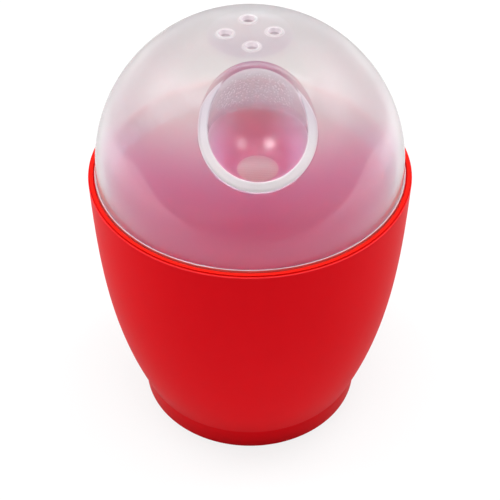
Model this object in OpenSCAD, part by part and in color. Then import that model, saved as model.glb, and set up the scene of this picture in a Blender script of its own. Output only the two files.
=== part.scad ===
// Microwave egg cooker: a red moulded cup with a clear milky domed lid that plugs into its mouth.
// Millimetres, +Z up. The origin is the middle of the foot's ring, on the surface it stands on.
// The thumb recess of the lid faces -Y.

/* [Lid dome] */
// Outside radius of the dome
dome_r = 34.6; // [32:0.1:40]
// Wall of the lid
lid_wall = 1.8; // [1.4:0.1:2.4]
// Radius of the flat on top of the dome, where the vents are
flat_r = 8; // [7.5:0.1:9]
// Height of the dome's centre over the top of the lid's flange
spring_h = 0.9; // [0.5:0.1:3]

/* [Lid rim] */
// How far the flange stands out from the dome
flange_out = 0.4; // [0.2:0.1:1]
// How far the flange shows above the cup's rim
flange_show = 0.6; // [0.3:0.1:1.5]
// Width of the ledge in the cup that the flange sits on
seat_w = 1; // [0.6:0.1:1.2]
// Depth of that ledge under the cup's rim
seat_depth = 1.2; // [0.8:0.1:2.5]
// Length of the skirt that plugs into the cup, from the ledge down
skirt_h = 5.2; // [3:0.1:9]
// Height of the bevel that leads the skirt in
skirt_bevel = 0.6; // [0.3:0.1:0.8]
// Gap all round between the lid and the cup
fit_gap = 0.25; // [0.15:0.05:0.4]

/* [Thumb recess] */
// Distance of the recess from the axis of the lid
recess_y = 21.9; // [20.5:0.1:23]
// Inside radius of the recess
recess_r = 10; // [8.5:0.1:10.5]
// Wall of the recess
recess_wall = 1.9; // [1.2:0.1:2]
// Height of the middle of its bowl over the centre of the dome
bowl_up = 24; // [23:0.1:25]
// Depth of its flat floor under the middle of the bowl
floor_down = 9.2; // [8:0.1:9.6]
// How far the lip round the recess stands proud of the dome
lip_rise = 0.3; // [0.1:0.1:0.6]

/* [Steam vents] */
// Number of vents
vent_count = 4; // [2:1:6]
// Bore of a vent
vent_d = 2.7; // [1.8:0.1:3]
// Distance of the vents from the axis of the lid
vent_ring_r = 5.1; // [4.5:0.1:5.4]
// Width of the lip round a vent
vent_lip = 0.6; // [0.3:0.1:0.7]
// Height of the lip round a vent
vent_rise = 0.3; // [0.1:0.1:0.6]

/* [Cup] */
// Height of the cup
cup_h = 66.4; // [55:0.2:85]
// Wall of the cup
cup_wall = 1.9; // [1.5:0.1:2.6]
// Width of the flat top of the cup's rim
rim_land = 1.15; // [0.9:0.05:2]
// Rounding of the outer edge of the rim
rim_round = 0.4; // [0.2:0.1:0.6]
// How far the upper side leans outwards
side_lean = 1.5; // [0.5:0.1:3]
// How soon the belly swells out above the foot
side_swell = 2.9; // [2:0.1:4]

/* [Foot] */
// Radius of the foot where it stands
foot_r = 26.5; // [22:0.1:28]
// Height of the foot's band
foot_h = 6; // [4:0.1:10]
// How much wider the band is at its top
foot_flare = 0.55; // [0.2:0.05:1]
// Width of the ring that the cup stands on
foot_land = 2.6; // [2:0.1:5]
// Depth of the hollow under the foot
foot_hollow = 3; // [1.5:0.1:4]
// Thickness of the cup's floor
floor_wall = 2.4; // [1.5:0.1:4]
// Rounding of the corner between floor and side inside the cup
floor_round = 6; // [3:0.5:9]

/* [Hidden] */
$fn = 96;
// Steps in the curve of the cup's side and in a rounded corner
side_steps = 24;
round_steps = 6;
// A cut runs this far past the face that it opens
past = 1;
// Bevel along the edge that the cup stands on
foot_bevel = 0.4;
// Height over which the cup's side runs into the bore for the skirt
bore_run = 1;

// Radii from the lid outwards to the cup
flange_r = dome_r + flange_out;
skirt_r = flange_r - seat_w;
dome_bore = dome_r - lid_wall;
cup_bore = skirt_r + fit_gap;
seat_bore = flange_r + fit_gap;
rim_r = seat_bore + rim_land;
foot_top_r = foot_r + foot_flare;

// Heights from the table upwards
floor_z = foot_hollow + floor_wall;
seat_z = cup_h - seat_depth;
skirt_z = seat_z - skirt_h;
flange_z = cup_h + flange_show;
dome_z = flange_z + spring_h;
flat_z = dome_z + sqrt(pow(dome_r, 2) - pow(flat_r, 2));
bowl_z = dome_z + bowl_up;
recess_floor_z = bowl_z - floor_down;

// Outside radius of the cup at height z above the foot's band
function side_r(z) =
    let (t = 1 - (z - foot_h) / (cup_h - foot_h))
    rim_r - side_lean * t - (rim_r - side_lean - foot_top_r) * pow(t, side_swell);

// Points of the cup's side between two heights, moved inwards by a wall
function side_points(z0, z1, wall) =
    [for (i = [0 : side_steps])
        let (z = z0 + (z1 - z0) * i / side_steps)
        [side_r(z) - wall, z]];

// Points of an arc of radius r from angle a0 to angle a1
function arc_points(centre, r, a0, a1) =
    [for (i = [0 : round_steps])
        let (a = a0 + (a1 - a0) * i / round_steps)
        centre + r * [cos(a), sin(a)]];

// Solid outline of the cup: foot, band, side and rounded rim
module cup_outline() {
    rim_edge_z = cup_h - rim_round;
    polygon(concat(
        [[0, 0], [foot_r - foot_bevel, 0], [foot_r, foot_bevel]],
        side_points(foot_h, rim_edge_z, 0),
        arc_points([side_r(rim_edge_z) - rim_round, rim_edge_z], rim_round, 0, 90),
        [[0, cup_h]]));
}

// Outline of the space in the cup: floor, round corner that runs into the side without a kink,
// side, bore for the skirt and the wider seat for the flange
module cup_space() {
    bore_z = skirt_z - bore_run;
    corner_z = floor_z + floor_round;
    lean = atan(side_r(corner_z + 1) - side_r(corner_z));
    side_z = corner_z - floor_round * sin(lean);
    corner_r = side_r(side_z) - cup_wall - floor_round * cos(lean);
    polygon(concat(
        [[0, floor_z]],
        arc_points([corner_r, corner_z], floor_round, -90, -lean),
        side_points(side_z + bore_run, bore_z, cup_wall),
        [[cup_bore, skirt_z], [cup_bore, seat_z], [seat_bore, seat_z],
         [seat_bore, cup_h + past], [0, cup_h + past]]));
}

module cup() {
    color("red")
    rotate_extrude() difference() {
        cup_outline();
        cup_space();
        translate([0, -past]) square([foot_r - foot_land, foot_hollow + past]);
    }
}

// Half outline of a dome of radius r, flat at the height top, on a straight band down to bottom
module dome_outline(r, top, bottom) {
    intersection() {
        translate([0, dome_z]) circle(r);
        translate([0, dome_z]) square([r, top - dome_z]);
    }
    translate([0, bottom]) square([r, dome_z - bottom]);
}

// The lid's shell: dome, flange and skirt, turned in one piece
module lid_shell() {
    rotate_extrude() difference() {
        union() {
            dome_outline(dome_r, flat_z, seat_z);
            translate([0, seat_z]) square([flange_r, flange_z - seat_z]);
            polygon([
                [0, skirt_z],
                [skirt_r - skirt_bevel / 2, skirt_z],
                [skirt_r, skirt_z + skirt_bevel],
                [skirt_r, seat_z],
                [0, seat_z]]);
        }
        dome_outline(dome_bore, flat_z - lid_wall, skirt_z - past);
    }
}

// Upright round pocket of radius r with a bowl below, flat at the height bottom
module pocket(r, bottom) {
    translate([0, -recess_y, 0])
    rotate_extrude() intersection() {
        union() {
            translate([0, bowl_z]) circle(r);
            translate([0, bowl_z]) square([r, dome_r]);
        }
        translate([0, bottom]) square([r, 2 * dome_r]);
    }
}

// Wall of the thumb recess, ended by a lip that follows the dome
module recess_body() {
    intersection() {
        pocket(recess_r + recess_wall, recess_floor_z - recess_wall);
        translate([0, 0, dome_z]) sphere(dome_r + lip_rise);
    }
}

// Places a child at every vent
module at_vents() {
    for (i = [0 : vent_count - 1])
        rotate(i * 360 / vent_count) translate([0, -vent_ring_r, 0]) children();
}

module lid() {
    color([0.93, 0.9, 0.92, 0.6])
    difference() {
        union() {
            lid_shell();
            recess_body();
            at_vents() translate([0, 0, flat_z - lid_wall / 2])
                cylinder(d = vent_d + 2 * vent_lip, h = lid_wall / 2 + vent_rise);
        }
        pocket(recess_r, recess_floor_z);
        at_vents() translate([0, 0, flat_z - lid_wall - past])
            cylinder(d = vent_d, h = lid_wall + vent_rise + 2 * past);
    }
}

cup();
lid();
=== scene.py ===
import math
import types

import bmesh
import bpy
import numpy as np
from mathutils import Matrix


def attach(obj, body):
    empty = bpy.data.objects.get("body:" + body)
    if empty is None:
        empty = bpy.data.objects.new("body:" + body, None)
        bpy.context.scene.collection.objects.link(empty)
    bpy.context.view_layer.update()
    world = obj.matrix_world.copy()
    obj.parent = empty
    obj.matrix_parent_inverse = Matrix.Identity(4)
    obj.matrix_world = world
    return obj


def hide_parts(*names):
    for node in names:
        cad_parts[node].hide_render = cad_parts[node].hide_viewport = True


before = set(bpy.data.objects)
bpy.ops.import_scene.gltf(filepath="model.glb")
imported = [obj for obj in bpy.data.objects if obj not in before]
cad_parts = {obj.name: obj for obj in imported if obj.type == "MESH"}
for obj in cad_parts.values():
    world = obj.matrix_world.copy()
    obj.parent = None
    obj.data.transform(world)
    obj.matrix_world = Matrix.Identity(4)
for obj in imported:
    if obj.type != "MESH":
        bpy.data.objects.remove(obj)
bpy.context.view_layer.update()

# Sizes in millimetres, within 0.3 mm of the solids'. Objects are in metres.
MM = 0.001

# Lid: dome, flange, skirt
DOME_R = 34.6
DOME_Z = 67.9
LID_WALL = 1.8
FLAT_Z = 101.56
FLAT_BLEND = 0.35
FLANGE_R = 34.95
FLANGE_Z = 66.72
SEAT_Z = 65.2
SKIRT_R = 34.0
SKIRT_Z = 60.0

# Thumb recess of the lid
RECESS_Y = -21.65
RECESS_R = 10.0
RECESS_WALL = 1.7
RECESS_OUTER_R = RECESS_R + RECESS_WALL
BOWL_Z = 91.9
RECESS_FLOOR_Z = 82.9
DISC_R = 4.4
LIP_RISE = 0.12
LIP_RAMP = 0.6

# The white of the recess's lip: how far behind the recess's axis it ends, how much further it
# reaches on the left, and how fast it narrows before its end
LIP_REACH = 7.5
LIP_SKEW = 0.13
LIP_TAPER = 0.36

# Steam vents of the lid
VENTS = 4
VENT_R = 1.35
VENT_RING_R = 5.1
VENT_LIP = 0.6

# Cup and foot
CUP_H = 66.4
CUP_WALL = 1.9
RIM_R = 36.4
RIM_STEP = 0.3
RIM_EDGE = 0.34
SEAT_BORE = 35.25
CUP_BORE = 34.25
SIDE_LEAN = 1.5
SIDE_SWELL = 2.9
FOOT_R = 26.5
FOOT_TOP_R = 27.05
FOOT_H = 6.0
FOOT_HOLLOW = 3.0
FOOT_RING_R = 23.9
FLOOR_Z = 5.4
FLOOR_ROUND = 6.0

# Steps round the axis in the finished meshes, and points along the cup's side, outside and inside
CUP_STEPS = 288
LID_STEPS = 224
SIDE_ROWS = 56
INSIDE_ROWS = 44
CORNER_ROWS = 14

# Points down the lid's dome in one slice
DOME_ROWS = 72

# Faces that meet at more than this, in degrees, keep a crisp edge
CRISP_ANGLE = 40

# How strongly the lid's plastic bends light
BENDING = 1.45

# Stage: the table's front edge as the lid mirrors it, and how light the mirrored room is
TABLE_EDGE_Y = -212.0
DIM_ROOM = 0.30

# What the lamps are turned towards, in metres: the cup, or the recess of the lid
CUP_MIDDLE = (0, 0, 0.05)
RECESS_MOUTH = (0, -0.02, 0.09)


class Socket:
    """An output of a node. Arithmetic on it adds Math nodes."""

    def __init__(self, graph, output):
        self.graph = graph
        self.output = output

    def math(self, operation, *terms):
        return self.graph.node("ShaderNodeMath", {"operation": operation}, dict(enumerate(terms)))

    def __add__(self, other):
        return self.math("ADD", self, other)

    def __radd__(self, other):
        return self.math("ADD", other, self)

    def __sub__(self, other):
        return self.math("SUBTRACT", self, other)

    def __rsub__(self, other):
        return self.math("SUBTRACT", other, self)

    def __mul__(self, other):
        return self.math("MULTIPLY", self, other)

    def __rmul__(self, other):
        return self.math("MULTIPLY", other, self)

    def __truediv__(self, other):
        return self.math("DIVIDE", self, other)

    def __pow__(self, other):
        return self.math("POWER", self, other)

    def sqrt(self):
        return self.math("SQRT", self)

    def floor(self):
        return self.math("FLOOR", self)

    def size(self):
        return self.math("ABSOLUTE", self)

    def lower(self, other):
        return self.math("MINIMUM", self, other)

    def sine(self):
        return self.math("SINE", self)

    def clamp(self):
        return self.graph.node("ShaderNodeClamp", {}, {"Value": self})

    def ramp(self, low, high):
        """0 below low, 1 above high, smooth between them. low above high turns it round."""
        flip = low > high
        start, end = (high, low) if flip else (low, high)
        step = self.graph.node(
            "ShaderNodeMapRange", {"interpolation_type": "SMOOTHSTEP"},
            {"Value": self, "From Min": start, "From Max": end})
        return 1.0 - step if flip else step


class Graph:
    """A node tree that grows by calls."""

    def __init__(self, tree):
        self.tree = tree

    def node(self, kind, settings=None, inputs=None, output=0):
        """Adds a node: its settings first, then the values or links of its sockets."""
        node = self.tree.nodes.new(kind)
        for name, value in (settings or {}).items():
            setattr(node, name, value)
        for name, value in (inputs or {}).items():
            socket = node.inputs[name]
            for term in value if isinstance(value, list) else [value]:
                if isinstance(term, Socket):
                    self.tree.links.new(term.output, socket)
                else:
                    socket.default_value = term
        return Socket(self, node.outputs[output]) if node.outputs else None

    def mix(self, factor, a, b):
        """A colour between a and b."""
        return self.node(
            "ShaderNodeMix", {"data_type": "RGBA"}, {0: factor, 6: a, 7: b}, output=2)

    def layers(self, colour, *over):
        """A colour with others laid over it, each a pair of its mask and its colour."""
        for mask, other in over:
            colour = self.mix(mask, colour, other)
        return colour

    def blend(self, factor, a, b):
        """A shader between a and b."""
        return self.node("ShaderNodeMixShader", {}, {0: factor, 1: a, 2: b})

    def place(self):
        """Object coordinates in millimetres: x, y and z."""
        return [part * (1 / MM) for part in self.parts("Object")]

    def parts(self, coordinates):
        """The x, y and z of a kind of texture coordinates."""
        vector = self.node("ShaderNodeTexCoord", output=coordinates)
        split = self.node("ShaderNodeSeparateXYZ", {}, {0: vector}).output.node
        return [Socket(self, split.outputs[i]) for i in range(3)]

    def noise(self, scale, detail):
        """Noise on object coordinates. scale is in waves a metre."""
        return self.node("ShaderNodeTexNoise", {}, {
            "Vector": self.node("ShaderNodeTexCoord", output="Object"),
            "Scale": scale, "Detail": detail})


def rgb(r, g, b):
    return (r, g, b, 1.0)


def total(start, *terms):
    """A start value and the sum of some masks, each with its amount before it."""
    for amount, mask in terms:
        start = start + amount * mask
    return start


def new_material(name):
    """An empty material and its graph."""
    material = bpy.data.materials.new(name)
    material.use_nodes = True
    material.node_tree.nodes.clear()
    return material, Graph(material.node_tree)


def red_plastic():
    """Red moulded polypropylene with a satin gloss, a faint unevenness from the mould, and painted light
    and shade along its rim.
    """
    material, g = new_material("red_plastic")
    x, y, z = g.place()
    cloudy = g.noise(45.0, detail=3.0)
    fine = g.noise(2600.0, detail=2.0)

    # Painted light and shade on the rim: its flat warmer, the step along it dark, its outer edge a pale
    # highlight
    from_axis = (x * x + y * y).sqrt()
    below_rim, from_side = CUP_H - z, RIM_R - from_axis
    on_top = below_rim.ramp(0.5, 0.25)
    step = below_rim.ramp(0.5, 0.4) * from_side.ramp(0.42, 0.35) * from_side.ramp(0.1, 0.2)
    rubbed = below_rim.ramp(0.66, 0.54) * below_rim.ramp(0.2, 0.3) * from_side.ramp(0.2, 0.1)
    colour = g.layers(
        g.mix(cloudy, rgb(0.81, 0.0025, 0.008), rgb(0.86, 0.0045, 0.011)),
        (on_top, rgb(0.73, 0.013, 0.008)),
        (step, rgb(0.55, 0.001, 0.001)),
        (rubbed * 0.45, rgb(0.87, 0.06, 0.07)))

    surface = g.node("ShaderNodeBsdfPrincipled", {}, {
        "Base Color": colour,
        "Roughness": 0.32 + 0.08 * cloudy,
        "Specular IOR Level": 0.02,
        "Normal": g.node("ShaderNodeBump", {}, {"Height": fine, "Strength": 0.12, "Distance": 0.00004})})
    g.node("ShaderNodeOutputMaterial", {}, {"Surface": surface})
    return material


def lid_places(g):
    """Masks of the places on the lid where its wall looks different, some of them for painted light and
    shade.
    """
    at = types.SimpleNamespace()
    x, y, z = g.place()
    aside = x.size()
    behind = y - RECESS_Y
    below_bowl = (z - BOWL_Z).lower(0.0)
    post = behind * behind + x * x
    from_post = post.sqrt()
    from_pocket = (post + below_bowl * below_bowl).sqrt()
    from_axis = (x * x + y * y).sqrt()
    from_centre = (x * x + y * y + (z - DOME_Z) * (z - DOME_Z)).sqrt()
    out_x, out_y = aside - VENT_RING_R, y.size() - VENT_RING_R
    from_vent = (out_x * out_x + y * y).lower(out_y * out_y + x * x).sqrt()

    # Round the recess: a white lip at the front and sides that tapers off, and a clear one behind with
    # painted pink shade
    ring = (from_pocket.ramp(RECESS_R - 0.3, RECESS_R + 0.1)
            * from_pocket.ramp(RECESS_OUTER_R + 0.35, RECESS_OUTER_R + 0.2)
            * from_centre.ramp(DOME_R - 0.8, DOME_R - 0.2))
    taper = (LIP_REACH - behind - LIP_SKEW * x) * LIP_TAPER
    at.lip = ring * (taper - (from_post - (RECESS_R + 0.45)).size()).ramp(-0.15, 0.4)
    at.lip_end = z.ramp(88.0, 95.0)
    at.back_ring = (ring - at.lip) * from_pocket.ramp(RECESS_R, RECESS_R + 0.2)
    at.back_tint = at.back_ring * (0.35 + 0.65 * aside.ramp(9.0, 3.0))

    # In the recess: the back wall with its grain, the bowl and the flat disc at its bottom
    in_pocket = from_pocket.ramp(RECESS_R + 0.3, RECESS_R + 0.1)
    bowl_height = z.ramp(BOWL_Z + 1.0, BOWL_Z - 1.0)
    at.back_wall = in_pocket * z.ramp(BOWL_Z - 0.5, BOWL_Z + 1.5) * behind.ramp(-2.0, 3.0)
    at.bowl = in_pocket * bowl_height
    bowl_back = behind.ramp(1.0, 5.0) * aside.ramp(9.5, 1.5)
    at.bowl_side = at.bowl * from_post.ramp(5.0, RECESS_R - 0.2) * (1.0 - bowl_back)
    at.bowl_wall = from_pocket.ramp(RECESS_OUTER_R + 0.6, RECESS_OUTER_R + 0.3) * bowl_height
    at.disc = from_post.ramp(DISC_R, DISC_R - 0.3) * z.ramp(RECESS_FLOOR_Z + 1.1, RECESS_FLOOR_Z + 0.3)
    at.disc_back = at.disc * behind.ramp(-3.0, 3.0)
    at.satin = (at.bowl_wall + ring).clamp()
    at.tooled = (y * 11.0).sine() * at.disc
    at.grained = at.back_wall * aside.ramp(9.0, 5.0) * from_centre.ramp(DOME_R - 0.5, DOME_R - 1.4)

    # The crown with its vents; the bores are painted whiter as if lit, with painted shade at their
    # bottoms
    at.vent = from_vent.ramp(2.3, 1.9) * z.ramp(98.0, 99.0)
    at.crown = from_axis.ramp(9.3, 8.6) * z.ramp(97.0, 99.0)
    at.crown_shade = at.crown * (1.0 - at.vent) * (0.25 + 0.5 * y.ramp(3.0, -6.0))
    at.bore = from_vent.ramp(1.48, 1.40) * z.ramp(98.0, 99.0)
    at.low_bore = at.bore * z.ramp(100.9, 100.4)

    # The flange: a painted highlight on its top edge, a painted red reflection of the cup on its side;
    # the skirt below
    at.skirt = z.ramp(SEAT_Z + 0.4, SEAT_Z - 0.2)
    at.rim = (from_axis.ramp(DOME_R, DOME_R + 0.08) * z.ramp(CUP_H - 0.1, CUP_H)
              * z.ramp(FLANGE_Z + 0.38, FLANGE_Z + 0.23))
    at.rim_side = (from_axis.ramp(FLANGE_R - 0.07, FLANGE_R - 0.01) * z.ramp(SEAT_Z, SEAT_Z + 0.2)
                   * z.ramp(FLANGE_Z + 0.08, FLANGE_Z))
    at.edge = (at.rim + at.rim_side).clamp()

    # A slanting look through the wall meets more of the milk in it
    slant = g.node("ShaderNodeLayerWeight", {}, {"Blend": 0.5}, output=1) ** 1.5
    at.slant = slant * from_pocket.ramp(RECESS_OUTER_R + 0.3, RECESS_OUTER_R + 0.7)
    at.low_slant = at.slant * z.ramp(92.0, 82.0)
    # High on the dome the outline gets painted dark shade, and its gloss is taken off
    at.high_slant = at.slant * z.ramp(92.0, 98.0)

    # Heights on the dome
    at.rising = z.ramp(76.0, 97.0) * (1.0 - 0.75 * at.bowl_wall)
    at.upper = z.ramp(78.0, 97.0) * (1.0 - 0.6 * at.back_wall - 0.1 * at.bowl)
    at.limb = z.ramp(78.0, 92.0)
    at.top = z.ramp(95.5, 99.5)
    at.low_back = y.ramp(0.0, 15.0) * z.ramp(80.0, 74.0)
    return at


def lid_milk(g, at, speck):
    """How much milk is in the lid's wall, and the colours that it throws back and lets by, painted light
    and shade among them.
    """
    haze = total(
        0.175, (0.28, at.rising), (0.40, at.slant), (0.24, at.low_slant),
        (0.80, at.lip), (-0.04, at.back_ring), (0.15, at.back_wall), (0.30, speck),
        (0.40, at.bowl_side), (0.02, at.disc), (0.22, at.disc_back),
        (0.04, at.crown), (0.15, at.vent), (0.35, at.bore), (-0.30, at.low_bore),
        (0.73, at.skirt), (-0.11, at.low_back), (0.80, at.edge)).clamp()
    milky = total(
        at.upper, (1.45, at.slant), (0.5, speck), (0.3, at.disc), (0.7, at.skirt)).clamp()
    # Painted light: a highlight on the flange's top, whiter vents and bores, and a whiter skirt, which
    # is also milkier
    white = total(at.rim, (0.4, at.vent), (0.6, at.bore), (0.7, at.skirt)).clamp()

    deep_pink = rgb(0.42, 0.19, 0.38)
    milk_white = rgb(0.97, 0.92, 0.95)
    warm_red = rgb(0.90, 0.14, 0.12)
    limb = g.mix(at.limb, rgb(0.99, 0.97, 0.92), rgb(0.64, 0.63, 0.58))
    # Painted shade: the milk is greyer on the crown's top and dark along the outline high on the dome
    pale = g.layers(
        rgb(0.99, 0.97, 0.97),
        (at.slant, limb),
        (at.top, rgb(0.70, 0.78, 0.73)),
        (at.high_slant, rgb(0.27, 0.27, 0.28)),
        (at.crown_shade, rgb(0.38, 0.36, 0.42)))
    lip = g.mix(at.lip_end, rgb(0.79, 0.75, 0.76), rgb(0.52, 0.47, 0.52))
    # The skirt is painted pink for the cup's red light round it, and the flange's side red as a painted
    # reflection
    thrown_back = g.layers(
        rgb(0.98, 0.25, 0.93),
        (milky, pale),
        (at.back_wall * 0.8, rgb(1.0, 0.93, 1.0)),
        (at.back_tint, deep_pink),
        (white, milk_white),
        (at.rim_side, warm_red),
        (at.skirt, rgb(1.0, 0.82, 0.93)),
        (at.low_bore, rgb(0.55, 0.38, 0.46)),
        (at.disc, rgb(0.66, 0.61, 0.65)),
        (at.lip, lip))
    let_by = g.layers(
        rgb(1.0, 0.78, 1.0),
        (milky, rgb(0.88, 0.88, 0.93)),
        (at.back_wall, rgb(1.0, 0.98, 1.0)),
        (at.back_tint, deep_pink),
        (white, milk_white),
        (at.rim_side, warm_red),
        (at.lip, rgb(0.78, 0.73, 0.76)))
    return haze, thrown_back, let_by


def milky_plastic():
    """Milky see-through polypropylene: haze in a clear wall, under a smooth gloss, with painted light
    and shade in places.
    """
    material, g = new_material("milky_plastic")
    at = lid_places(g)
    grain = g.node("ShaderNodeTexVoronoi", {}, {
        "Vector": g.node("ShaderNodeTexCoord", output="Object"), "Scale": 1900.0}, output="Distance")
    # The grain's specks are milkier and whiter: partly the grain itself, partly its tiny glints painted
    # in
    haze, thrown_back, let_by = lid_milk(g, at, at.grained * grain.ramp(0.52, 0.22))

    # The wall: clear, for the most part without a blur, with milk that glows through
    diffuse = g.node("ShaderNodeBsdfDiffuse", {}, {"Color": thrown_back})
    glow = g.node("ShaderNodeBsdfTranslucent", {}, {"Color": let_by})
    milk = g.blend(total(0.62, (0.1, at.back_wall), (-0.3, at.lip), (-0.3, at.skirt)), diffuse, glow)
    bent, spread = [
        g.node("ShaderNodeBsdfRefraction", {}, {
            "Color": rgb(0.99, 0.98, 0.97), "Roughness": roughness, "IOR": BENDING})
        for roughness in (0.015, 0.45)]
    wall = g.blend(haze, g.blend(0.125, bent, spread), milk)

    # The gloss over it, with the grain of the back wall and the cutter's marks on the disc
    bump = g.node("ShaderNodeBump", {}, {
        "Height": (grain - 0.45) * at.grained * 0.5 + at.tooled * 0.03,
        "Strength": 1.0, "Distance": 0.0006})
    gloss = g.node("ShaderNodeBsdfGlossy", {}, {
        "Color": rgb(1.0, 1.0, 1.0), "Roughness": 0.05 + 0.25 * at.satin, "Normal": bump})
    mirror = g.node("ShaderNodeFresnel", {}, {"IOR": BENDING, "Normal": bump})
    polish = total(1.0, (-0.7, at.lip), (-0.7, at.edge), (-0.9, at.high_slant))
    surface = g.blend(mirror * polish, wall, gloss)
    g.node("ShaderNodeOutputMaterial", {}, {"Surface": surface})
    return material


def round_corners(points, steps=5):
    """Rounds the corners of an open outline. A point is (r, z) or (r, z, radius)."""
    out = []
    for i, point in enumerate(points):
        here = np.array(point[:2])
        if len(point) == 2 or i in (0, len(points) - 1):
            out.append(here)
            continue
        back = np.array(points[i - 1][:2]) - here
        ahead = np.array(points[i + 1][:2]) - here
        back /= np.linalg.norm(back)
        ahead /= np.linalg.norm(ahead)
        half = math.acos(max(-1.0, min(1.0, float(back @ ahead)))) / 2
        run = point[2] / math.tan(half)
        middle = back + ahead
        centre = here + middle / np.linalg.norm(middle) * point[2] / math.sin(half)
        first = here + back * run - centre
        last = here + ahead * run - centre
        sweep = math.acos(max(-1.0, min(1.0, float(first @ last) / point[2] ** 2)))
        for k in range(steps + 1):
            t = k / steps
            arm = (math.sin((1 - t) * sweep) * first + math.sin(t * sweep) * last) / math.sin(sweep)
            out.append(centre + arm)
    return np.array(out)


def side_r(z):
    """Outside radius of the cup above the foot's band."""
    t = 1 - (z - FOOT_H) / (CUP_H - FOOT_H)
    return RIM_R - SIDE_LEAN * t - (RIM_R - SIDE_LEAN - FOOT_TOP_R) * t ** SIDE_SWELL


def cup_outline():
    """Half section of the cup, from the middle of its underside round to the middle of its floor."""
    side = [(side_r(z), z) for z in np.linspace(FOOT_H + 0.6, CUP_H - 1.2, SIDE_ROWS)]
    corner_z = FLOOR_Z + FLOOR_ROUND
    lean = math.atan(side_r(corner_z + 1) - side_r(corner_z))
    side_z = corner_z - FLOOR_ROUND * math.sin(lean)
    corner_r = side_r(side_z) - CUP_WALL - FLOOR_ROUND * math.cos(lean)
    inside = [(side_r(z) - CUP_WALL, z) for z in np.linspace(SKIRT_Z - 1, side_z + 1, INSIDE_ROWS)]
    corner = [(corner_r + FLOOR_ROUND * math.cos(a), corner_z + FLOOR_ROUND * math.sin(a))
              for a in np.linspace(-lean, -math.pi / 2, CORNER_ROWS)]
    return round_corners(
        [(0, FOOT_HOLLOW), (FOOT_RING_R - 6, FOOT_HOLLOW), (FOOT_RING_R, FOOT_HOLLOW, 0.6),
         (FOOT_RING_R, 0, 0.3), (FOOT_R, 0, 0.45), (FOOT_TOP_R, FOOT_H, 0.15)]
        + side
        + [(RIM_R, CUP_H - RIM_STEP, 0.25), (RIM_R - RIM_EDGE, CUP_H - RIM_STEP, 0.06),
           (RIM_R - RIM_EDGE, CUP_H, 0.08), (SEAT_BORE, CUP_H, 0.12), (SEAT_BORE, SEAT_Z, 0.1),
           (CUP_BORE, SEAT_Z, 0.15), (CUP_BORE, SKIRT_Z, 0.3)]
        + inside + corner + [(12, FLOOR_Z), (0, FLOOR_Z)])


def new_tree(name, start, sizes):
    """A geometry node group, its graph, and the sockets that it gets: start, sizes and a finish."""
    tree = bpy.data.node_groups.new(name, "GeometryNodeTree")
    tree.interface.new_socket(start, in_out="INPUT", socket_type="NodeSocketGeometry")
    for size, kind in sizes:
        tree.interface.new_socket(size, in_out="INPUT", socket_type="NodeSocket" + kind)
    tree.interface.new_socket("Finish", in_out="INPUT", socket_type="NodeSocketMaterial")
    tree.interface.new_socket("Piece", in_out="OUTPUT", socket_type="NodeSocketGeometry")
    g = Graph(tree)
    given = tree.nodes.new("NodeGroupInput")
    return tree, g, [Socket(g, given.outputs[i]) for i in range(len(sizes) + 2)]


def end_tree(g, geometry, finish):
    """Ends a geometry node group: smooth, plain and with its finish."""
    smooth = g.node("GeometryNodeSetShadeSmooth", {}, {"Geometry": geometry})
    plain = g.node("GeometryNodeRealizeInstances", {}, {"Geometry": smooth})
    done = g.node("GeometryNodeSetMaterial", {}, {"Geometry": plain, "Material": finish})
    g.node("NodeGroupOutput", {}, {"Piece": done})


def turned_tree():
    """Geometry nodes that turn an outline round the z axis into a closed piece."""
    tree, g, (outline, steps, finish) = new_tree("turned_piece", "Outline", [("Steps", "Int")])
    rows = g.node("GeometryNodeAttributeDomainSize", {"component": "MESH"}, {"Geometry": outline})
    grid = g.node("GeometryNodeMeshGrid", {}, {"Vertices X": steps + 1.0, "Vertices Y": rows})
    index = g.node("GeometryNodeInputIndex")
    column = ((index + 0.5) / rows).floor()
    row = index - column * rows
    place = g.node("GeometryNodeInputPosition")
    point = g.node(
        "GeometryNodeSampleIndex", {"data_type": "FLOAT_VECTOR"},
        {"Geometry": outline, "Value": place, "Index": row})
    turn = column / steps * (2 * math.pi)
    turned = g.node(
        "ShaderNodeVectorRotate", {"rotation_type": "Z_AXIS"}, {"Vector": point, "Angle": turn})
    shaped = g.node("GeometryNodeSetPosition", {}, {"Geometry": grid, "Position": turned})
    closed = g.node("GeometryNodeMergeByDistance", {}, {"Geometry": shaped, "Distance": 1e-6})
    end_tree(g, closed, finish)
    return tree


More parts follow.
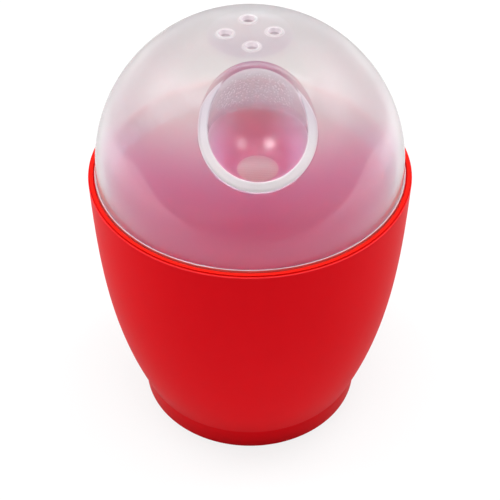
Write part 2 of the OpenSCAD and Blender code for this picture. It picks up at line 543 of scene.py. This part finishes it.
def vented_tree():
    """Geometry nodes that put a ring of raised, drilled vents on the lid's flat crown."""
    tree, g, (lid, vents, ring_r, bore_r, lip_w, height, wall, finish) = new_tree(
        "vented_lid", "Lid",
        [("Vents", "Int"), ("Ring radius", "Float"), ("Bore radius", "Float"),
         ("Lip width", "Float"), ("Height", "Float"), ("Wall", "Float")])

    def raised_to(geometry, z):
        lift = g.node("ShaderNodeCombineXYZ", {}, {"Z": z})
        return g.node("GeometryNodeTransform", {}, {"Geometry": geometry, "Translation": lift})

    def round_ring(part):
        ring = g.node("GeometryNodeMeshCircle", {}, {"Vertices": vents, "Radius": ring_r})
        turned = g.node(
            "GeometryNodeTransform", {}, {"Geometry": ring, "Rotation": (0, 0, math.pi / 2)})
        copies = g.node("GeometryNodeInstanceOnPoints", {}, {"Points": turned, "Instance": part})
        return g.node("GeometryNodeRealizeInstances", {}, {"Geometry": copies})

    # A lip is a rounded rope of plastic, a little thicker than it shows, that the bore cuts clean
    rope = g.node(
        "GeometryNodeCurvePrimitiveCircle", {}, {"Resolution": 48, "Radius": bore_r + lip_w * 0.45})
    section = g.node(
        "GeometryNodeCurvePrimitiveCircle", {}, {"Resolution": 20, "Radius": lip_w * 0.56})
    lip = g.node("GeometryNodeCurveToMesh", {}, {"Curve": rope, "Profile Curve": section})
    lips = round_ring(raised_to(lip, height - lip_w * 0.06))
    drill = g.node(
        "GeometryNodeMeshCylinder", {}, {"Vertices": 48, "Radius": bore_r, "Depth": wall * 3.0})
    drills = round_ring(raised_to(drill, height))
    lipped = g.node(
        "GeometryNodeMeshBoolean", {"operation": "UNION", "solver": "EXACT"}, {"Mesh 2": [lid, lips]})
    vented = g.node(
        "GeometryNodeMeshBoolean", {"operation": "DIFFERENCE", "solver": "EXACT"},
        {"Mesh 1": lipped, "Mesh 2": drills})
    end_tree(g, vented, finish)
    return tree


def grown(name, mesh, tree, sizes):
    """A closed piece that the tree makes of the given mesh. The modifier is used up."""
    start = bpy.data.objects.new(name + "_start", mesh)
    bpy.context.scene.collection.objects.link(start)
    modifier = start.modifiers.new("nodes", "NODES")
    modifier.node_group = tree
    for key, value in sizes.items():
        modifier[tree.interface.items_tree[key].identifier] = value
    evaluated = start.evaluated_get(bpy.context.evaluated_depsgraph_get())
    made = bpy.data.meshes.new_from_object(evaluated)
    bpy.data.objects.remove(start)
    made.name = name
    piece = bpy.data.objects.new(name, made)
    bpy.context.scene.collection.objects.link(piece)
    face_outwards(made)
    made.set_sharp_from_angle(angle=math.radians(CRISP_ANGLE))
    return piece


def face_outwards(mesh):
    """Turns the faces of a closed mesh outwards."""
    work = bmesh.new()
    work.from_mesh(mesh)
    if work.calc_volume(signed=True) < 0:
        bmesh.ops.reverse_faces(work, faces=work.faces)
    work.to_mesh(mesh)
    work.free()


def resample(points, count, start=0.0, end=0.0):
    """Count points along a curve, cut shorter by the lengths start and end."""
    length = np.concatenate([[0], np.cumsum(np.linalg.norm(np.diff(points, axis=0), axis=1))])
    at = np.linspace(start, length[-1] - end, count)
    return np.column_stack([np.interp(at, length, points[:, i]) for i in range(2)])


def joined(curves, corners, counts):
    """Curves one after the other, with the corners between them rounded."""
    rows = []
    for i, curve in enumerate(curves):
        start = corners[i - 1] if i else 0.0
        end = corners[i] if i < len(corners) else 0.0
        part = resample(curve, counts[i], start, end)
        if rows and start:
            a, b, c = rows[-1], curve[0], part[0]
            for t in (0.2, 0.4, 0.6, 0.8):
                rows.append((1 - t) ** 2 * a + 2 * t * (1 - t) * b + t ** 2 * c)
        rows.extend(part[1:] if rows and not start else part)
    return np.array(rows)


def soft_min(a, b, width):
    """The lower of a and b, with the change between them spread over width."""
    h = np.maximum(width - np.abs(a - b), 0) / width
    return np.minimum(a, b) - h * h * width / 4


def pocket_wall(radius, floor_z, length):
    """Point (distance from the recess's axis, z) at a length up a pocket's side from its floor."""
    start = math.asin((BOWL_Z - floor_z) / radius)
    bowl = radius * start
    if length < bowl:
        a = length / radius - start
        return radius * math.cos(a), BOWL_Z + radius * math.sin(a)
    return radius, BOWL_Z + length - bowl


class Slice:
    """Upright half plane from the recess's axis outwards, at one bearing."""

    def __init__(self, bearing):
        self.middle = -RECESS_Y * math.sin(bearing)
        self.aside = -RECESS_Y * abs(math.cos(bearing))

    def from_axis(self, s):
        """Distance from the lid's axis."""
        return math.hypot(s - self.middle, self.aside)

    def at_radius(self, r):
        """Distance along the slice at which the lid's radius is r."""
        return self.middle + math.sqrt(r * r - self.aside ** 2)

    def wall_up_to(self, radius, floor_z, sphere):
        """A pocket's side from its floor up to a sphere about the dome's centre."""
        low, high = 0.0, 3 * radius
        for _ in range(40):
            length = (low + high) / 2
            s, z = pocket_wall(radius, floor_z, length)
            if math.hypot(self.from_axis(s), z - DOME_Z) < sphere:
                low = length
            else:
                high = length
        return np.array([pocket_wall(radius, floor_z, q) for q in np.linspace(0, low, 120)])

    def over_dome(self, radius, first, lift):
        """The dome from the point first down to its spring line. lift raises it near the recess."""
        angle = np.linspace(math.atan2(first[1] - DOME_Z, first[0] - self.middle), 0, 400)
        flat = math.sqrt(radius ** 2 - self.aside ** 2)
        out = self.middle + flat * np.cos(angle)
        up = flat * np.sin(angle)
        here = radius + lift(out, DOME_Z + up)
        arc = np.sqrt(here ** 2 - self.aside ** 2)
        return np.column_stack([self.middle + arc * np.cos(angle), DOME_Z + arc * np.sin(angle)])


def lid_edge():
    """Half section (r, z) of flange and skirt, from the dome's spring line round to the inside."""
    inside = DOME_R - LID_WALL
    return round_corners([
        (DOME_R, DOME_Z), (DOME_R, FLANGE_Z, 0.1), (FLANGE_R, FLANGE_Z, 0.1),
        (FLANGE_R, SEAT_Z, 0.12), (SKIRT_R, SEAT_Z, 0.1), (SKIRT_R, SKIRT_Z + 1.0),
        (SKIRT_R, SKIRT_Z, 0.45), (inside, SKIRT_Z, 0.3), (inside, SKIRT_Z + 3.0),
        (inside, DOME_Z)], steps=4)


def lid_rows(bearing, edge):
    """The closed path of the lid's surface in one slice, from the recess's floor to its underside."""
    cut = Slice(bearing)
    floor_below = RECESS_FLOOR_Z - RECESS_WALL
    inside = cut.wall_up_to(RECESS_R, RECESS_FLOOR_Z, DOME_R + LIP_RISE)
    outside = cut.wall_up_to(RECESS_OUTER_R, floor_below, DOME_R)
    under = cut.wall_up_to(RECESS_OUTER_R, floor_below, DOME_R - LID_WALL)
    lip_s, lip_z = outside[-1]
    past_lip = lip_s + LIP_RAMP

    def lip(s, z):
        beyond = np.hypot(s - lip_s, z - lip_z) * np.sign(s - lip_s)
        t = np.clip(0.5 + beyond / LIP_RAMP, 0, 1)
        return LIP_RISE * (1 - t * t * (3 - 2 * t))

    # The crown is flat, but for the lip, which may rise above it
    top = cut.over_dome(DOME_R, inside[-1], lip)
    far_above = 2 * FLAT_Z
    top[:, 1] = soft_min(top[:, 1], np.where(top[:, 0] < past_lip, far_above, FLAT_Z), FLAT_BLEND)
    ceiling = cut.over_dome(DOME_R - LID_WALL, under[-1], lambda s, z: 0.0)[::-1]
    ceiling[:, 1] = soft_min(ceiling[:, 1], FLAT_Z - LID_WALL, FLAT_BLEND)

    lip_end = np.searchsorted(top[:, 0], past_lip)
    floor = np.array([(0, RECESS_FLOOR_Z), inside[0]])
    recess = joined([floor, inside, top[:lip_end + 1]], corners=(0.5, 0.35), counts=(5, 30, 16))
    dome = resample(top[lip_end:], DOME_ROWS)
    rim = np.array([(cut.at_radius(r), z) for r, z in edge])
    below = np.array([under[0], (0, floor_below)])
    underside = joined([ceiling, under[::-1], below], corners=(0.8, 0.9), counts=(44, 26, 5))
    return np.vstack([recess, dome[1:], rim[1:], underside[1:]])


def lid_mesh():
    """The lid without its vents, as rings of points round the recess's axis."""
    edge = lid_edge()
    bearings = np.linspace(0, 2 * math.pi, LID_STEPS, endpoint=False)
    paths = [lid_rows(b, edge) for b in bearings]
    rows = len(paths[0])
    points = [(0, RECESS_Y, paths[0][0][1])]
    for j in range(1, rows - 1):
        for b, path in zip(bearings, paths):
            s, z = path[j]
            points.append((s * math.cos(b), RECESS_Y + s * math.sin(b), z))
    points.append((0, RECESS_Y, paths[0][-1][1]))
    last = len(points) - 1
    faces = []
    for i in range(LID_STEPS):
        k = (i + 1) % LID_STEPS
        faces.append((0, 1 + i, 1 + k))
        for j in range(rows - 3):
            a = 1 + j * LID_STEPS
            faces.append((a + i, a + LID_STEPS + i, a + LID_STEPS + k, a + k))
        a = 1 + (rows - 3) * LID_STEPS
        faces.append((a + i, last, a + k))
    mesh = bpy.data.meshes.new("lid_start")
    mesh.from_pydata([tuple(np.array(p) * MM) for p in points], [], faces)
    return mesh


def outline_mesh():
    """The cup's outline as points in a row."""
    points = cup_outline() * MM
    mesh = bpy.data.meshes.new("cup_start")
    mesh.from_pydata([(r, 0, z) for r, z in points], [], [])
    return mesh


cup = grown("red_cup", outline_mesh(), turned_tree(), {
    "Steps": CUP_STEPS, "Finish": red_plastic()})
lid = grown("milky_lid", lid_mesh(), vented_tree(), {
    "Vents": VENTS, "Ring radius": VENT_RING_R * MM, "Bore radius": VENT_R * MM,
    "Lip width": VENT_LIP * MM, "Height": FLAT_Z * MM, "Wall": LID_WALL * MM,
    "Finish": milky_plastic()})

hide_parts("cup")
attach(cup, "base")
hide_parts("lid")
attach(lid, "lid")


def ray_kinds(g):
    """Three masks: straight from the camera, mirrored, and through something clear."""
    path = g.node("ShaderNodeLightPath").output.node
    return [Socket(g, path.outputs[name])
            for name in ("Is Camera Ray", "Is Glossy Ray", "Is Transmission Ray")]


def floor_finish():
    """Pale matt table. It looks white and still takes the object's soft shadow.
    Mirrored, it ends at its front edge, and is lighter towards its sides and behind the object."""
    material, g = new_material("pale_floor")
    camera, mirrored, through = ray_kinds(g)
    x, y, _ = g.place()
    on_table = y.ramp(TABLE_EDGE_Y - 4.0, TABLE_EDGE_Y + 4.0)
    aside = x.size()
    lighter = total(
        0.0, (0.6, aside.ramp(60.0, 220.0)), (0.9, aside.ramp(180.0, 300.0)), (0.28, y.ramp(20.0, 90.0)))
    near = total(0.2, (0.8, y.ramp(260.0, 120.0)))
    lit = 1.0 + mirrored * (lighter * near - 0.5)
    strength = DIM_ROOM + (lit - DIM_ROOM) * (camera + through + on_table).clamp()
    matt = g.node("ShaderNodeBsdfDiffuse", {}, {"Color": rgb(0.80, 0.80, 0.80)})
    dull = g.node("ShaderNodeBsdfDiffuse", {}, {"Color": rgb(0.64, 0.64, 0.64)})
    light = g.node("ShaderNodeEmission", {}, {"Strength": strength})
    shown = g.blend(0.82 + 0.18 * mirrored * (1.0 - on_table), matt, light)
    surface = g.blend((camera + mirrored + through).clamp(), dull, shown)
    g.node("ShaderNodeOutputMaterial", {}, {"Surface": surface})
    return material


def room_light():
    """Pale room: white where it is seen, dimmer where it is mirrored, with a soft glow behind and
    two soft boxes at the sides, and plain soft light for the rest."""
    world = bpy.data.worlds.new("room")
    world.use_nodes = True
    world.node_tree.nodes.clear()
    g = Graph(world.node_tree)
    camera, mirrored, through = ray_kinds(g)
    x, y, up = g.parts("Generated")
    plain = total(0.12, (0.60, (x * x).ramp(0.1, 0.9)), (0.26, y.ramp(-0.4, 0.7)))
    low_wall = up.ramp(0.12, 0.09) * y.ramp(0.0, 0.3)
    glow = y.ramp(0.0, 0.5) * up.ramp(0.15, 0.55)
    soft_boxes = (x.size().ramp(0.42, 0.62) * up.ramp(0.25, 0.55)
                  * y.ramp(0.75, 0.35) * y.ramp(-0.15, 0.15))
    mirror = total(DIM_ROOM, (0.2, low_wall), (0.7, glow), (1.5, soft_boxes))
    light = plain + (mirror - plain) * mirrored
    strength = light + (1.0 - light) * (camera + through).clamp()
    background = g.node("ShaderNodeBackground", {}, {"Color": rgb(1, 1, 1), "Strength": strength})
    g.node("ShaderNodeOutputWorld", {}, {"Surface": background})
    bpy.context.scene.world = world


def soft_lamp(name, place, aim, size, power, seen_as):
    """Round area lamp turned towards a point. seen_as is "light" or "glint"."""
    data = bpy.data.lights.new(name, "AREA")
    data.shape = "DISK"
    data.size = size
    data.energy = power
    lamp = bpy.data.objects.new(name, data)
    lamp.location = place
    direction = np.array(aim) - np.array(place)
    flat = math.hypot(direction[0], direction[1])
    lamp.rotation_euler = (
        math.atan2(flat, -direction[2]), 0, math.atan2(direction[1], direction[0]) - math.pi / 2)
    lamp.visible_camera = False
    lamp.visible_glossy = seen_as == "glint"
    lamp.visible_diffuse = seen_as == "light"
    lamp.visible_transmission = seen_as == "light"
    bpy.context.scene.collection.objects.link(lamp)


floor_mesh = bpy.data.meshes.new("floor")
floor_mesh.from_pydata([(-4, -4, 0), (4, -4, 0), (4, 4, 0), (-4, 4, 0)], [], [(0, 1, 2, 3)])
floor_mesh.materials.append(floor_finish())
floor = bpy.data.objects.new("floor", floor_mesh)
bpy.context.scene.collection.objects.link(floor)

room_light()
soft_lamp("left_lamp", (-0.45, 0.15, 0.95), CUP_MIDDLE, 0.50, 5.2, "light")
soft_lamp("right_lamp", (0.45, 0.15, 0.95), CUP_MIDDLE, 0.50, 5.2, "light")
soft_lamp("top_lamp", (0, -0.10, 1.08), CUP_MIDDLE, 0.50, 8.0, "light")
soft_lamp("left_front_lamp", (-0.487, -0.374, 0.889), RECESS_MOUTH, 0.36, 8.6, "glint")
soft_lamp("right_front_lamp", (0.578, -0.381, 0.821), RECESS_MOUTH, 0.40, 4.6, "glint")

# The photo's view: from the front, a little from the left, well from above
camera_data = bpy.data.cameras.new("camera")
camera_data.lens = 93.6
camera_data.sensor_width = 36.0
camera = bpy.data.objects.new("camera", camera_data)
camera.location = (-0.01681, -0.22888, 0.2492)
camera.rotation_euler = (math.radians(47.76), 0, math.radians(-4.2))
bpy.context.scene.collection.objects.link(camera)
bpy.context.scene.camera = camera
bpy.context.scene.view_settings.view_transform = "Standard"
